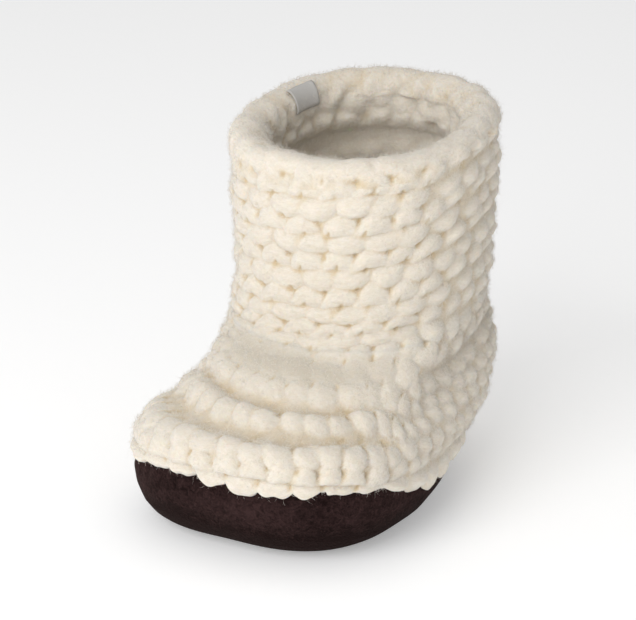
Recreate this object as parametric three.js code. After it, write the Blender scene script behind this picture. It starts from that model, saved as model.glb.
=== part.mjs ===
// A knitted slipper boot for the left foot: a thick knitted upper on a soft suede sole.
// Millimetres, +Z up, toe towards -Y, outer side of the foot towards +X.
import * as THREE from 'three';

// Sizes of the whole boot
const COLUMNS = 56;
const ROWS_PER_COURSE = 4;
const COURSES = 13;
const CLEARANCE = 0.3;

// Knitted upper
const WALL = 6.5;
const HEM_WIDTH = 5.6;
const ROLL_THICKNESS = 11;
const ROLL_HEIGHT = 5.5;
const ROLL_STEPS = 6;

// Toe bend towards the inner side starts here and is full one span farther forward
const BEND_START = 10;
const BEND_SPAN = 75;

// Suede sole
const SPINE_FRONT = -30;
const SPINE_BACK = 20;
const SOLE_LEAN = -3;
const RIM_INSET = 1.2;
const FLOOR_THICKNESS = 3;
const SPRING_START = -34;
const SPRING_LENGTH = 30;
const SPRING_LIFT = 3.2;
const ARCH_FRONT = -12;
const ARCH_BACK = 20;
const ARCH_LIFT = 1.3;
const WAIST_AT = 8;
const WAIST_LENGTH = 16;
const WAIST_INSET = 2.5;

// Sewn label inside the collar
const LABEL_TURN = 254;
const LABEL_SPREAD = 18;
const LABEL_STEPS = 6;
const LABEL_THICKNESS = 0.8;
const LABEL_CLEARANCE = 0.55;

// One row for each section of the upper, a tilted ring that follows a knitted course.
// toe, wide and heel are its stations in Y, half is the half width at its wide station.
const SECTION_NAMES = [
  'course', 'toe', 'wide', 'heel', 'zToe', 'zHeel', 'half', 'nToe', 'nHeel', 'taper', 'bend', 'sag', 'ridge',
];
const SECTIONS = [
  [0, -62, -20, 54, 24, 17.5, 44.5, 2.5, 2.25, 0.15, -4, 2.5, 0],
  [1, -65.5, -20, 60, 30, 24, 44.5, 2.5, 2.45, 0.07, -2, 3.5, 1.2],
  [2.2, -65, -18, 65.5, 36.5, 31.5, 43.5, 2.4, 2.6, -0.02, 0, 4.5, 1.6],
  [3.2, -59, -14, 66.5, 40.5, 39.5, 40.3, 2.2, 2.7, -0.1, 3, 5, 1.2],
  [4.4, -47.5, -6, 67.5, 43, 48, 36.5, 2.05, 2.6, -0.155, 5, 5, 0.9],
  [5.6, -32, 5, 67, 47, 55, 36.2, 2.05, 2.5, -0.07, 4, 3.5, 0.6],
  [6.6, -20, 17, 66, 54.5, 62, 37, 2.2, 2.4, 0, 0, 1.5, 1],
  [8, -16, 24, 65, 66, 72, 38, 2.2, 2.3, 0, 0, 0, 1.4],
  [10, -16, 25, 66, 82.5, 88, 38.5, 2.2, 2.2, 0, 0, 0, 1.4],
  [12, -17, 25, 67, 98.5, 105, 39, 2.2, 2.2, 0, 0, 0, 1.4],
  [13, -17, 25, 67, 106.5, 113.3, 39, 2.2, 2.2, 0, 0, 0, 1.2],
];

// Courses that have a ring on the inside of the wall, from the hem down
const INNER_COURSES = [10.8, 9.4, 8, 6.8, 5.6, 4.4, 3.3, 2.1, 1];

// Inside of the turned-in collar edge: how far in from the outer face, how far down
const TURNED_EDGE = [
  { inset: 11.0, drop: 4 },
  { inset: 10.5, drop: 9 },
  { inset: 8.6, drop: 12 },
  { inset: 6.8, drop: 13.5 },
];

// Sole side from the rim to the ground: part of the rim's height, inset from the seam line
const SOLE_SIDE = [
  { height: 1, inset: RIM_INSET },
  { height: 0.78, inset: 0.6 },
  { height: 0.56, inset: 1.7 },
  { height: 0.33, inset: 4 },
  { height: 0.17, inset: 7 },
  { height: 0.055, inset: 11 },
  { height: 0, inset: 15 },
];

// Inside of the sole's turned-up wall, from its floor to the rim
const SOLE_INSIDE = [
  { height: 0.38, inset: 7 },
  { height: 0.62, inset: 4.7 },
  { height: 1, inset: 4 },
];

// Footbed from its underside to its top edge: height over the sole's floor, inset from the seam line
const FOOTBED = [
  { up: 0.3, inset: 11.8 },
  { up: 2.1, inset: 10.5 },
  { up: 3.8, inset: 9.8 },
  { up: 4.8, inset: 11.4 },
];

// Label from the crown of the collar roll down its inner side: inset from the outer face, rise
const LABEL_DROP = [
  { inset: 8.0, rise: 4.9 },
  { inset: 9.9, rise: 3.3 },
  { inset: 10.9, rise: 0.9 },
  { inset: 11.0, rise: -1.0 },
  { inset: 10.95, rise: -2.8 },
];

const COLOURS = { knit: '#e6ddcd', suede: '#2b2020', fleece: '#d6cdbd', satin: '#dedbd6' };

// Smooth curve through one column of the section table
function column(name, course) {
  const k = SECTION_NAMES.indexOf(name);
  const knots = SECTIONS.map((row) => row[0]);
  const values = SECTIONS.map((row) => row[k]);
  const last = knots.length - 1;
  const slope = (i) => {
    const step = (j) => (values[j + 1] - values[j]) / (knots[j + 1] - knots[j]);
    if (i === 0) return step(0);
    if (i === last) return step(last - 1);
    const before = knots[i] - knots[i - 1];
    const after = knots[i + 1] - knots[i];
    return (step(i - 1) * after + step(i) * before) / (before + after);
  };
  let i = 0;
  while (i < last - 1 && course >= knots[i + 1]) i += 1;
  const span = knots[i + 1] - knots[i];
  const t = (course - knots[i]) / span;
  const start = (1 + 2 * t) * (1 - t) ** 2 * values[i] + t * (1 - t) ** 2 * span * slope(i);
  const end = t * t * (3 - 2 * t) * values[i + 1] + t * t * (t - 1) * span * slope(i + 1);
  return start + end;
}

function section(course) {
  return Object.fromEntries(SECTION_NAMES.map((name) => [name, column(name, course)]));
}

const SEAM = section(0);

// How far the toe bend has grown at a station in Y
function bendShare(y) {
  return Math.max(0, (BEND_START - y) / BEND_SPAN) ** 2;
}

// Plain ring point of a section before the toe bends, turn 0 at the toe and 90 degrees at +X
function ringPoint(s, turn) {
  const co = Math.cos(turn);
  const si = Math.sin(turn);
  const power = 2 / (co >= 0 ? s.nToe : s.nHeel);
  const reach = co >= 0 ? s.wide - s.toe : s.heel - s.wide;
  const y = s.wide - Math.sign(co) * reach * Math.abs(co) ** power;
  const q = Math.min(1, Math.max(0, (y - s.wide) / (s.heel - s.wide)));
  const narrow = 1 - s.taper * q * q * (3 - 2 * q);
  const x = s.half * narrow * Math.sign(si) * Math.abs(si) ** power;
  const u = (y - s.toe) / (s.heel - s.toe);
  const z = s.zToe + (s.zHeel - s.zToe) * u - s.sag * 4 * u * (1 - u);
  return new THREE.Vector3(x, y, z);
}

function facePoint(course, turn) {
  const s = section(course);
  const p = ringPoint(s, turn);
  p.x += s.bend * bendShare(p.y);
  return p;
}

// Outward normal of the knitted face
function faceNormal(course, turn) {
  const step = 0.02;
  const low = Math.max(0, course - step);
  const high = Math.min(COURSES, course + step);
  const up = facePoint(high, turn).sub(facePoint(low, turn));
  const along = facePoint(course, turn + step).sub(facePoint(course, turn - step));
  return along.cross(up).normalize();
}

// Level direction out of the collar
function levelNormal(course, turn) {
  const n = faceNormal(course, turn);
  n.z = 0;
  return n.normalize();
}

// The seam line moved level towards the middle of the sole, and bent at the toe
function soleOutline(turn, inset) {
  const p = ringPoint(SEAM, turn);
  const spine = Math.min(SPINE_BACK, Math.max(SPINE_FRONT, p.y));
  const out = new THREE.Vector2(p.x, p.y - spine);
  const long = out.length();
  out.multiplyScalar((long - inset) / long);
  const y = spine + out.y;
  return new THREE.Vector3(out.x + SEAM.bend * bendShare(y), y, p.z);
}

// Height of the sole's underside: flat at heel and forefoot, a low arch and a toe spring
function groundLift(y) {
  const spring = SPRING_LIFT * Math.max(0, (SPRING_START - y) / SPRING_LENGTH) ** 2;
  const inArch = y > ARCH_FRONT && y < ARCH_BACK;
  const wave = Math.sin((Math.PI * (y - ARCH_FRONT)) / (ARCH_BACK - ARCH_FRONT));
  return spring + (inArch ? ARCH_LIFT * wave ** 2 : 0);
}

// Point of the sole at a share of the rim's height, narrower at the inner side's waist
function solePoint(turn, height, inset) {
  const rough = soleOutline(turn, inset);
  const waist = Math.exp(-(((rough.y - WAIST_AT) / WAIST_LENGTH) ** 2));
  const inner = Math.sin(turn) < 0 ? WAIST_INSET * waist * (1 - height) : 0;
  const p = soleOutline(turn, inset + inner);
  const rim = p.z - CLEARANCE;
  p.x += SOLE_LEAN * (1 - height);
  p.z = height * rim + (1 - height) * groundLift(p.y);
  return p;
}

function solePointOverFloor(turn, up, inset) {
  const p = solePoint(turn, 0, inset);
  p.z += FLOOR_THICKNESS + up;
  return p;
}

function ring(pointAt) {
  const points = [];
  for (let j = 0; j < COLUMNS; j += 1) points.push(pointAt((2 * Math.PI * j) / COLUMNS));
  return points;
}

// Triangles between neighbouring rings, each ring lying above or outside the one before it
function bands(triangles, rings, closed) {
  const count = closed ? rings.length : rings.length - 1;
  for (let i = 0; i < count; i += 1) {
    const a = rings[i];
    const b = rings[(i + 1) % rings.length];
    for (let j = 0; j < COLUMNS; j += 1) {
      const k = (j + 1) % COLUMNS;
      triangles.push(a[j], a[k], b[k], a[j], b[k], b[j]);
    }
  }
}

// Closing face of a ring, made of strips across the foot
function cap(triangles, points, facesUp) {
  const half = COLUMNS / 2;
  const add = (p, q, r) => {
    if (facesUp) triangles.push(p, q, r);
    else triangles.push(p, r, q);
  };
  const right = (j) => points[j];
  const left = (j) => points[(COLUMNS - j) % COLUMNS];
  add(right(0), right(1), left(1));
  for (let j = 1; j < half - 1; j += 1) {
    add(right(j), right(j + 1), left(j + 1));
    add(right(j), left(j + 1), left(j));
  }
  add(right(half - 1), right(half), left(half - 1));
}

function knittedUpper() {
  const rings = [];
  const rows = COURSES * ROWS_PER_COURSE;
  for (let i = 0; i <= rows; i += 1) {
    const course = i / ROWS_PER_COURSE;
    const swell = column('ridge', course) * (Math.abs(Math.sin(Math.PI * course)) - 0.5) * Math.min(1, course);
    rings.push(ring((turn) => facePoint(course, turn).addScaledVector(faceNormal(course, turn), swell)));
  }
  const swellAtTop = column('ridge', COURSES) * -0.5;
  for (let i = 1; i <= ROLL_STEPS; i += 1) {
    const angle = (Math.PI * i) / ROLL_STEPS;
    const inset = (ROLL_THICKNESS / 2) * (1 - Math.cos(angle)) - swellAtTop * (1 + Math.cos(angle)) * 0.5;
    rings.push(ring((turn) => collarPoint(turn, inset, ROLL_HEIGHT * Math.sin(angle))));
  }
  for (const edge of TURNED_EDGE) {
    rings.push(ring((turn) => collarPoint(turn, edge.inset, -edge.drop)));
  }
  for (const course of INNER_COURSES) {
    rings.push(ring((turn) => facePoint(course, turn).addScaledVector(faceNormal(course, turn), -WALL)));
  }
  rings.push(ring((turn) => soleOutline(turn, HEM_WIDTH)));
  const triangles = [];
  bands(triangles, rings, true);
  return triangles;
}

function collarPoint(turn, inset, rise) {
  const p = facePoint(COURSES, turn).addScaledVector(levelNormal(COURSES, turn), -inset);
  p.z += rise;
  return p;
}

function suedeSole() {
  const floor = ring((turn) => solePointOverFloor(turn, 0, 11));
  const inside = SOLE_INSIDE.map((row) => ring((turn) => solePoint(turn, row.height, row.inset)));
  const side = SOLE_SIDE.map((row) => ring((turn) => solePoint(turn, row.height, row.inset)));
  const rings = [...side].reverse().concat([...inside].reverse(), [floor]);
  const triangles = [];
  cap(triangles, rings[0], false);
  bands(triangles, rings, false);
  cap(triangles, floor, true);
  return triangles;
}

function fleeceInsole() {
  const rings = FOOTBED.map((row) => ring((turn) => solePointOverFloor(turn, row.up, row.inset)));
  const triangles = [];
  cap(triangles, rings[0], false);
  bands(triangles, rings, false);
  cap(triangles, rings[rings.length - 1], true);
  return triangles;
}

// A thin strip that follows the collar roll, just clear of it
function satinLabel() {
  const grid = (offset) => LABEL_DROP.map((row, i) => {
    const before = LABEL_DROP[Math.max(0, i - 1)];
    const after = LABEL_DROP[Math.min(LABEL_DROP.length - 1, i + 1)];
    const run = new THREE.Vector2(after.inset - before.inset, after.rise - before.rise).normalize();
    const line = [];
    for (let j = 0; j <= LABEL_STEPS; j += 1) {
      const turn = THREE.MathUtils.degToRad(LABEL_TURN + LABEL_SPREAD * (j / LABEL_STEPS - 0.5));
      line.push(collarPoint(turn, row.inset - run.y * offset, row.rise + run.x * offset));
    }
    return line;
  });
  const back = grid(LABEL_CLEARANCE);
  const front = grid(LABEL_CLEARANCE + LABEL_THICKNESS);
  const triangles = [];
  const quad = (p, q, r, s) => triangles.push(p, q, r, p, r, s);
  const lastRow = LABEL_DROP.length - 1;
  for (let i = 0; i < lastRow; i += 1) {
    for (let j = 0; j < LABEL_STEPS; j += 1) {
      quad(front[i][j], front[i][j + 1], front[i + 1][j + 1], front[i + 1][j]);
      quad(back[i][j], back[i + 1][j], back[i + 1][j + 1], back[i][j + 1]);
    }
    quad(front[i][0], front[i + 1][0], back[i + 1][0], back[i][0]);
    quad(front[i + 1][LABEL_STEPS], front[i][LABEL_STEPS], back[i][LABEL_STEPS], back[i + 1][LABEL_STEPS]);
  }
  for (let j = 0; j < LABEL_STEPS; j += 1) {
    quad(front[0][j + 1], front[0][j], back[0][j], back[0][j + 1]);
    quad(front[lastRow][j], front[lastRow][j + 1], back[lastRow][j + 1], back[lastRow][j]);
  }
  return triangles;
}

// One closed body with shared corners
function solid(name, triangles, colour, roughness) {
  const places = new Map();
  const positions = [];
  const index = triangles.map((p) => {
    if (!places.has(p)) {
      places.set(p, positions.length / 3);
      positions.push(p.x, p.y, p.z);
    }
    return places.get(p);
  });
  const geometry = new THREE.BufferGeometry();
  geometry.setAttribute('position', new THREE.Float32BufferAttribute(positions, 3));
  geometry.setIndex(index);
  geometry.computeVertexNormals();
  const material = new THREE.MeshStandardMaterial({ color: colour, roughness, metalness: 0 });
  const mesh = new THREE.Mesh(geometry, material);
  mesh.name = name;
  return mesh;
}

const boot = new THREE.Group();
boot.name = 'knitted_slipper_boot';
boot.add(solid('sole', suedeSole(), COLOURS.suede, 0.95));
boot.add(solid('upper', knittedUpper(), COLOURS.knit, 0.95));
boot.add(solid('insole', fleeceInsole(), COLOURS.fleece, 1));
boot.add(solid('label', satinLabel(), COLOURS.satin, 0.45));

// The boot's box stands centred over the origin, its lowest face on the ground
const box = new THREE.Box3().setFromObject(boot);
const middle = box.getCenter(new THREE.Vector3());
for (const mesh of boot.children) mesh.geometry.translate(-middle.x, -middle.y, -box.min.z);

export default boot;
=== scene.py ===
# %% [markdown]
# # A knitted slipper boot, dressed over its solids
# The solids give the boot its last, its wall and its sole. Here they get their looks: thick
# knitted yarn, a felted vamp, suede with a nap, fleece and a bare satin label. Every piece is
# worked out from the same section table as the solids, so nothing has to be fitted by eye.

import math

import bpy
import numpy as np
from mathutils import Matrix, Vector


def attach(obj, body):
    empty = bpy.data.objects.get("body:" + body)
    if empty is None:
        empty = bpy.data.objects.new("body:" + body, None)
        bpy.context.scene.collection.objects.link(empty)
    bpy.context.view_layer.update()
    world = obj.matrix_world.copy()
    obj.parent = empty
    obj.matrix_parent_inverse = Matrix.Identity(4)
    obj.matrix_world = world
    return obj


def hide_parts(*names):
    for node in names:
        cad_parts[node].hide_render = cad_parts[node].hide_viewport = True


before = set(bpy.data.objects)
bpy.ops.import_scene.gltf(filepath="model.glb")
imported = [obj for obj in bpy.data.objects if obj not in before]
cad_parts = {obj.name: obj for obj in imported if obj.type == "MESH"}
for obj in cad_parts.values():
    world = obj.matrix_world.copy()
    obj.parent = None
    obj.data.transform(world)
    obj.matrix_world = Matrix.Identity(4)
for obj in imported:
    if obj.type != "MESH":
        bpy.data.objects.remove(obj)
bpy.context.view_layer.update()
rng = np.random.default_rng(7)
MM = 0.001


# %% [markdown]
# ## The form of the boot
# A boot is easiest to describe as rings that run round the foot, numbered by knitted course from the
# seam on the sole up to the collar. Each row of the table is one ring: where its toe, its widest
# place and its heel lie, how high they are, how wide it is and how square its ends are. A mesh could
# be modelled by hand instead, but yarn, felt and fuzz could not be laid on that by course and turn.

# %% Section table of the upper, in millimetres
SECTION_NAMES = (
    "course", "toe", "wide", "heel", "z_toe", "z_heel", "half", "n_toe", "n_heel", "taper", "bend", "sag",
)
SECTIONS = np.array([
    [0, -62, -20, 54, 24, 17.5, 44.5, 2.5, 2.25, 0.15, -4, 2.5],
    [1, -65.5, -20, 60, 30, 24, 44.5, 2.5, 2.45, 0.07, -2, 3.5],
    [2.2, -65, -18, 65.5, 36.5, 31.5, 43.5, 2.4, 2.6, -0.02, 0, 4.5],
    [3.2, -59, -14, 66.5, 40.5, 39.5, 40.3, 2.2, 2.7, -0.1, 3, 5],
    [4.4, -47.5, -6, 67.5, 43, 48, 36.5, 2.05, 2.6, -0.155, 5, 5],
    [5.6, -32, 5, 67, 47, 55, 36.2, 2.05, 2.5, -0.07, 4, 3.5],
    [6.6, -20, 17, 66, 54.5, 62, 37, 2.2, 2.4, 0, 0, 1.5],
    [8, -16, 24, 65, 66, 72, 38, 2.2, 2.3, 0, 0, 0],
    [10, -16, 25, 66, 82.5, 88, 38.5, 2.2, 2.2, 0, 0, 0],
    [12, -17, 25, 67, 98.5, 105, 39, 2.2, 2.2, 0, 0, 0],
    [13, -17, 25, 67, 106.5, 113.3, 39, 2.2, 2.2, 0, 0, 0],
])
COLLAR = 13.0
BEND_START, BEND_LENGTH = 10, 75
COURSE_BELOW_SEAM = 6.5
CENTRE = np.array([-0.2226, 0.5884, 0.0])  # middle of the solids, which are centred on the origin
print("sections:", len(SECTIONS), "from the seam to course", COLLAR)

# %% A point of the wall for any course and turn
def column(name, course):
    """Smooth curve through one column of the table."""
    x, y = SECTIONS[:, 0], SECTIONS[:, SECTION_NAMES.index(name)]
    span = np.diff(x)
    slope = np.diff(y) / span
    between = (slope[:-1] * span[1:] + slope[1:] * span[:-1]) / (span[1:] + span[:-1])
    ends = np.concatenate([slope[:1], between, slope[-1:]])
    i = np.clip(np.searchsorted(x, course, side="right") - 1, 0, len(x) - 2)
    t = (course - x[i]) / span[i]
    start = (1 + 2 * t) * (1 - t) ** 2 * y[i] + t * (1 - t) ** 2 * span[i] * ends[i]
    return start + t * t * (3 - 2 * t) * y[i + 1] + t * t * (t - 1) * span[i] * ends[i + 1]


def bend_share(y):
    """How far the toe has bent to the inner side at a place along the foot."""
    return np.clip((BEND_START - y) / BEND_LENGTH, 0, None) ** 2


def ring_point(course, turn):
    """Point of a ring before the toe bends, turn 0 at the toe and a quarter turn at +X."""
    s = {name: column(name, course) for name in SECTION_NAMES[1:]}
    co, si = np.cos(turn), np.sin(turn)
    power = 2 / np.where(co >= 0, s["n_toe"], s["n_heel"])
    reach = np.where(co >= 0, s["wide"] - s["toe"], s["heel"] - s["wide"])
    y = s["wide"] - np.sign(co) * reach * np.abs(co) ** power
    q = np.clip((y - s["wide"]) / (s["heel"] - s["wide"]), 0, 1)
    x = s["half"] * (1 - s["taper"] * q * q * (3 - 2 * q)) * np.sign(si) * np.abs(si) ** power
    u = (y - s["toe"]) / (s["heel"] - s["toe"])
    z = s["z_toe"] + (s["z_heel"] - s["z_toe"]) * u - s["sag"] * 4 * u * (1 - u)
    return np.stack(np.broadcast_arrays(x, y, z), -1), s["bend"]


def wall_point(course, turn):
    p, bend = ring_point(np.clip(course, 0, COLLAR), turn)
    p[..., 0] += bend * bend_share(p[..., 1])
    p[..., 2] += np.minimum(course, 0) * COURSE_BELOW_SEAM
    return p


def collar_point(turn):
    return wall_point(np.full_like(turn, COLLAR), turn)


def smooth(low, high, x):
    """Soft step from 0 at low to 1 at high; low may be the larger one."""
    t = np.clip((x - low) / (high - low), 0, 1)
    return t * t * (3 - 2 * t)


def unit(v):
    return v / np.linalg.norm(v, axis=-1, keepdims=True)


print("toe point:", wall_point(np.array(0.0), np.array(0.0)).round(1))

# %% [markdown]
# ## Over the collar
# Above the last course the fabric rolls inwards and hangs down inside as a hem. The same course
# number simply runs on over the roll, so yarn can be laid over it without a special case.

# %% Skin: a point and its outward direction for any course and turn
ROLL_SPAN = 2.1
ROLL_THICKNESS = 11.0
ROLL_HEIGHT = 5.5
HEM_DROP = 7.4
HEM_LEAN = 0.3


def level_out(turn):
    """Outward direction at the collar, without its slope."""
    step = 0.01
    along = collar_point(turn + step) - collar_point(turn - step)
    return unit(np.stack([along[..., 1], -along[..., 0], np.zeros_like(turn)], -1))


def skin(course, turn):
    """Point of the wall, on over the roll and down the hem."""
    course, turn = np.broadcast_arrays(np.asarray(course, float), np.asarray(turn, float))
    roll = np.clip((course - COLLAR) / ROLL_SPAN, 0, 1) * math.pi
    hem = np.clip(course - COLLAR - ROLL_SPAN, 0, None)
    inset = ROLL_THICKNESS / 2 * (1 - np.cos(roll)) - HEM_LEAN * hem
    p = wall_point(course, turn) - inset[..., None] * level_out(turn)
    p[..., 2] += ROLL_HEIGHT * np.sin(roll) - HEM_DROP * hem
    return p


def skin_normal(course, turn):
    step = 0.03
    up = skin(course + step, turn) - skin(course - step, turn)
    along = skin(course, turn + step) - skin(course, turn - step)
    return unit(np.cross(along, up))


print("collar's top in mm:", skin(COLLAR + ROLL_SPAN / 2, math.pi)[..., 2].round(1))

# %% [markdown]
# ## Round the boot
# Stitches are evenly spaced round the boot, but turns are not: the same turn covers more wool in one
# place than in another. So a place is given as a share of the ring's own length. The turn that
# belongs to it is looked up in a table, because there is no formula for it.

# %% Turn for a share of a ring's length
TABLE_COURSES = np.linspace(-0.5, 17.5, 145)
TABLE_SHARES = np.linspace(0, 1, 361)
FINE_TURNS = np.linspace(0, 2 * math.pi, 721)


def steps_round(course):
    return np.linalg.norm(np.diff(skin(course, FINE_TURNS), axis=0), axis=1)


def turns_of_ring(course):
    run = np.concatenate([[0], np.cumsum(steps_round(course))])
    return np.interp(TABLE_SHARES, run / run[-1], FINE_TURNS)


TABLE_TURNS = np.array([turns_of_ring(course) for course in TABLE_COURSES])


def turn_at(course, share):
    """Turn at a share of the ring's own length."""
    lap = np.floor(share)
    i = (course - TABLE_COURSES[0]) / (TABLE_COURSES[1] - TABLE_COURSES[0])
    i = np.clip(i, 0, len(TABLE_COURSES) - 1.001)
    j = (share - lap) * (len(TABLE_SHARES) - 1)
    i0, j0 = i.astype(int), np.minimum(j.astype(int), len(TABLE_SHARES) - 2)
    fi, fj = i - i0, j - j0
    low = TABLE_TURNS[i0, j0] * (1 - fj) + TABLE_TURNS[i0, j0 + 1] * fj
    high = TABLE_TURNS[i0 + 1, j0] * (1 - fj) + TABLE_TURNS[i0 + 1, j0 + 1] * fj
    return low * (1 - fi) + high * fi + lap * 2 * math.pi


def turn_from(turn, degrees):
    """Degrees between a turn and a given one, either way round."""
    return np.degrees(np.abs((turn - math.radians(degrees) + math.pi) % (2 * math.pi) - math.pi))


def signed_degrees(turn):
    return np.degrees((turn + math.pi) % (2 * math.pi) - math.pi)


lengths = [round(steps_round(course).sum()) for course in (1.0, 4.0, 10.0)]
print("length round foot, vamp edge and shaft in mm:", lengths)

# %% [markdown]
# ## Meshes from arrays
# Bumps by the hundred and hairs by the thousand are quicker to make as joined meshes from number
# arrays than as one object each. One helper makes a mesh from points, faces of one size, optional UVs
# and values that are stored on the points, and lets it ride on the boot's body.

# %% Mesh helpers
def add_object(name, data):
    thing = bpy.data.objects.new(name, data)
    bpy.context.scene.collection.objects.link(thing)
    return thing


def make_piece(name, points, faces, uvs=None, values=None):
    """points in millimetres before the boot is centred; faces as an array with 3 or 4 columns."""
    mesh = bpy.data.meshes.new(name)
    co = ((points - CENTRE) * MM).astype(np.float32)
    corners = faces.shape[1]
    mesh.vertices.add(len(co))
    mesh.vertices.foreach_set("co", co.ravel())
    mesh.loops.add(faces.size)
    mesh.loops.foreach_set("vertex_index", faces.ravel().astype(np.int32))
    mesh.polygons.add(len(faces))
    mesh.polygons.foreach_set("loop_start", np.arange(0, faces.size, corners, dtype=np.int32))
    mesh.polygons.foreach_set("use_smooth", np.ones(len(faces), bool))
    if uvs is not None:
        layer = mesh.uv_layers.new(name="UVMap")
        layer.data.foreach_set("uv", uvs.reshape(-1).astype(np.float32))
    for label, numbers in (values or {}).items():
        layer = mesh.attributes.new(label, "FLOAT", "POINT")
        layer.data.foreach_set("value", numbers.astype(np.float32))
    mesh.update(calc_edges=True)
    mesh.validate()
    piece = add_object(name, mesh)
    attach(piece, "root")
    print(name, "triangles:", len(faces) * (corners - 2))
    return piece


def band_faces(rows, columns, close_rows=False):
    """Quads between neighbouring rows of a grid of points that is closed round its columns."""
    i, j = np.meshgrid(np.arange(rows if close_rows else rows - 1), np.arange(columns), indexing="ij")
    i, j = i.ravel(), j.ravel()
    k, r = (j + 1) % columns, (i + 1) % rows
    return np.stack([i * columns + j, i * columns + k, r * columns + k, r * columns + j], 1)


# %% [markdown]
# ## Rows of purl bumps
# On the purl side of knitting the yarn shows as rows of plump bumps, set like bricks, with thin
# creases between them and a small hole where three bumps meet. Every loop could be a tube of its
# own, but this wool is felted, so its bumps melt into each other. One closed sheet with a relief
# of rounded bumps shows that better, and how hard they melt together can change from place to place.
# The rows lie wider apart over the toe than round the heel, so each has a course in front and one
# at the back. Eight rows are on the foot, nine on the shaft and three on the roll and the hem.

# %% Row table
FRONT_ROWS = np.array(
    [0.45, 1.45, 2.7, 4.45, 5.55, 6.1, 6.5, 6.85]
    + [7.2, 7.65, 8.25, 9.0, 9.75, 10.4, 11.1, 11.85, 12.6]
    + [13.5, 15.3, 16.3]
)
BACK_ROWS = np.array(
    [0.45, 1.35, 2.2, 3.0, 3.8, 4.6, 5.4, 6.2]
    + [7.0, 7.75, 8.5, 9.25, 9.95, 10.65, 11.35, 12.05, 12.75]
    + [13.5, 15.3, 16.3]
)
ROWS = len(FRONT_ROWS)
ROW_CLIMB = np.array([0.0] * 5 + [0.1, 0.2, 0.3] + [0.35] * 9 + [0.2, 0.0, 0.0])


def row_course(r, turn):
    """Course of a row, which climbs a little towards the outer side."""
    front = smooth(100, 45, turn_from(turn, 0))
    return FRONT_ROWS[r] * front + BACK_ROWS[r] * (1 - front) + ROW_CLIMB[r] * np.sin(turn)


def row_of(course, turn):
    """Row number, with fractions between rows."""
    row = np.minimum(course - row_course(0, turn), 0)
    for r in range(ROWS - 1):
        low, high = row_course(r, turn), row_course(r + 1, turn)
        row = row + np.clip((course - low) / (high - low), 0, 1)
    return row


def on_row(r, share):
    """Point and outward direction on the middle line of a row."""
    course = np.full_like(share, BACK_ROWS[r])
    for _ in range(5):
        course = row_course(r, turn_at(course, share))
    turn = turn_at(course, share)
    return skin(course, turn), skin_normal(course, turn), turn


print("rows of bumps:", ROWS)

# %% [markdown]
# Each row has its own number of bumps, and its bumps have their own bow and slope. Hand knitting is
# uneven, so every bump also gets a seeded share of unevenness in its place, size and corner pit.
# At the sides and the back the bumps are knobs that lie more freely, so they get more of it.

# %% Bumps of each row and their unevenness
BUMP_WALES = np.array([34, 44, 44, 42, 38, 32, 28, 26] + [24] * 12)
BUMP_PHASE = (
    [0, 0.5, 0.05, 0.4, 0.0, 0.5, 0.1, 0.6]
    + [0.05, 0.5, 0.1, 0.6, 0.0, 0.45, 0.05, 0.5, 0.1]
    + [0.55, 0.0, 0.55]
)
BUMP_ARC = np.array([0.6, -1.2, 1.0, 0.3, 0.0, 0.6, -0.8, 0.8] + [-1.0, 0.7] * 5 + [0.6, -1.0])
BUMP_TILT = np.array([0.0, 0.0, 0.0, -0.2, -0.1, 0.0, 0.1, 0.2] + [0.22] * 12)
TALLEST_REACH = 7.5
UNEVEN = {  # middle and spread
    "aside": (0, 0.11), "above": (0, 0.07), "long": (0, 0.08), "tall": (0, 0.06), "high": (0, 0.07),
    "tilt": (0, 0.08), "lap": (0.3, 0.12), "grain": (0, 9.0), "pit": (0.85, 0.3), "pit_place": (0.40, 0.06),
}
SIDE_MIDDLE, SIDE_HALF = 0.48, 0.33  # shares of the way round
FREER_KNOBS = 1.4

uneven = []
for wales in BUMP_WALES:
    own = {name: rng.normal(middle, spread, wales) for name, (middle, spread) in UNEVEN.items()}
    side = np.abs(np.arange(wales) / wales - SIDE_MIDDLE) < SIDE_HALF
    for name in ("aside", "above", "high"):
        own[name][side] *= FREER_KNOBS
    uneven.append(own)


def bump_places(r):
    """Middle, own directions and spacing of every bump of a row."""
    wales = BUMP_WALES[r]
    share = (np.arange(wales) + BUMP_PHASE[r] + uneven[r]["aside"]) / wales
    middle, out, turn = on_row(r, share)
    ahead = on_row(r, share + 0.25 / wales)[0] - on_row(r, share - 0.25 / wales)[0]
    half_wale = np.linalg.norm(ahead, axis=1)
    along = ahead / half_wale[:, None]
    above = skin(row_course(min(r + 1, ROWS - 1), turn) + (r == ROWS - 1), turn) - middle
    below = skin(row_course(max(r - 1, 0), turn) - (r == 0), turn) - middle
    reach = [
        np.linalg.norm(gap - along * (gap * along).sum(1, keepdims=True), axis=1) for gap in (above, below)
    ]
    reach = np.minimum(reach, TALLEST_REACH)
    return {
        "middle": middle, "along": along, "up": np.cross(out, along), "wale": 2 * half_wale,
        "above": reach[0], "below": reach[1],
    }


places = [bump_places(r) for r in range(ROWS)]
print("bumps:", int(BUMP_WALES.sum()))

# %% [markdown]
# ## Relief of the bumps
# The height at a place comes from the bumps round it. Each bump has its own frame, bowed and tilted
# like its row. In front a bump is a wide flat pillow, towards the back a round knob. A sum of powers
# melts neighbours together: the higher the power, the sharper the crease between them.

# %% One bump and its corner
BUMP_LONG, BUMP_TALL = 0.72, 0.72
KNOB_LONG, KNOB_TALL = 0.44, 0.51
PIT_LONG, PIT_TALL = 0.055, 0.16
CORNER_LONG, CORNER_TALL = 0.26, 0.42
PIT_SLANT = 0.15


def of_bumps(table, k):
    return {name: values[k] for name, values in table.items()}


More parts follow.
